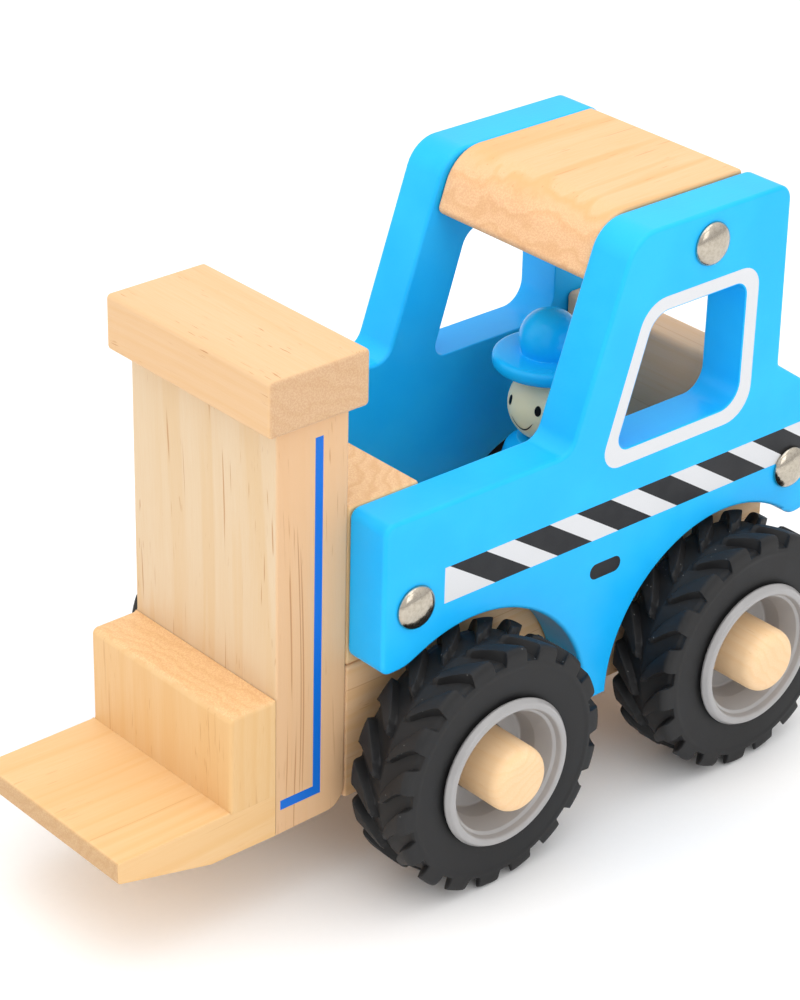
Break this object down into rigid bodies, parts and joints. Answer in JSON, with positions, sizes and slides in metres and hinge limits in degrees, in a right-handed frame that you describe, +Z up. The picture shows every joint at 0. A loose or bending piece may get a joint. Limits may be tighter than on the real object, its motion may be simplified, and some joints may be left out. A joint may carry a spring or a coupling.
{
  "type": "toy forklift",
  "caption": "Wooden toy forklift with painted cab sides on pine blocks, a sliding mast with a fork plate, rubber-tyred wheels on dowel axles and a peg driver.",
  "frame": {"origin": "on the ground, in the middle of the object's box", "axes": "+Z up, the forks point along -Y, +X is the vehicle's left side"},
  "size_m": [0.114, 0.202, 0.1446],
  "materials": {
    "pine": "sanded, clear matt lacquer",
    "pine_dowel": "turned, clear matt lacquer",
    "blue_paint": "satin paint with a printed white and black band",
    "grey_plastic": "glossy moulded plastic",
    "black_rubber": "matt moulded rubber",
    "nickel": "polished nickel plating",
    "skin_paint": "satin paint with printed dot eyes and a smile"
  },
  "bodies": {
    "chassis": {"chassis_beam": "pine", "hood_block": "pine", "rear_block": "pine", "roof_block": "pine", "side_panel_left": "blue_paint", "side_panel_right": "blue_paint", "nail_front_left": "nickel", "nail_front_right": "nickel", "nail_roof_left": "nickel", "nail_roof_right": "nickel", "nail_rear_left": "nickel", "nail_rear_right": "nickel", "hood_dowel_left": "pine_dowel", "hood_dowel_right": "pine_dowel", "rear_dowel_left": "pine_dowel", "rear_dowel_right": "pine_dowel", "driver_body": "blue_paint", "driver_head": "skin_paint", "driver_hat": "blue_paint"},
    "mast": {"mast_post": "pine", "mast_cap": "pine", "fork_carriage_block": "pine", "fork_plate": "pine", "mast_slide_key": "pine_dowel", "cap_dowel_left": "pine_dowel", "cap_dowel_right": "pine_dowel", "fork_carriage_dowel_left": "pine_dowel", "fork_carriage_dowel_right": "pine_dowel", "fork_plate_dowel_left": "pine_dowel", "fork_plate_dowel_right": "pine_dowel"},
    "front_wheels": {"front_axle": "pine_dowel", "rim_front_left": "grey_plastic", "rim_front_right": "grey_plastic", "tyre_front_left": "black_rubber", "tyre_front_right": "black_rubber"},
    "rear_wheels": {"rear_axle": "pine_dowel", "rim_rear_left": "grey_plastic", "rim_rear_right": "grey_plastic", "tyre_rear_left": "black_rubber", "tyre_rear_right": "black_rubber"}
  },
  "joints": [
    {"name": "mast_lift", "type": "slide", "parent": "chassis", "child": "mast", "axis": [0, 0, 1], "range_m": [-0.0185, 0.035]},
    {"name": "front_axle_spin", "type": "hinge", "parent": "chassis", "child": "front_wheels", "pos_m": [0, -0.012, 0.0305], "axis": [1, 0, 0], "continuous": true},
    {"name": "rear_axle_spin", "type": "hinge", "parent": "chassis", "child": "rear_wheels", "pos_m": [0, 0.0695, 0.0305], "axis": [1, 0, 0], "continuous": true}
  ]
}
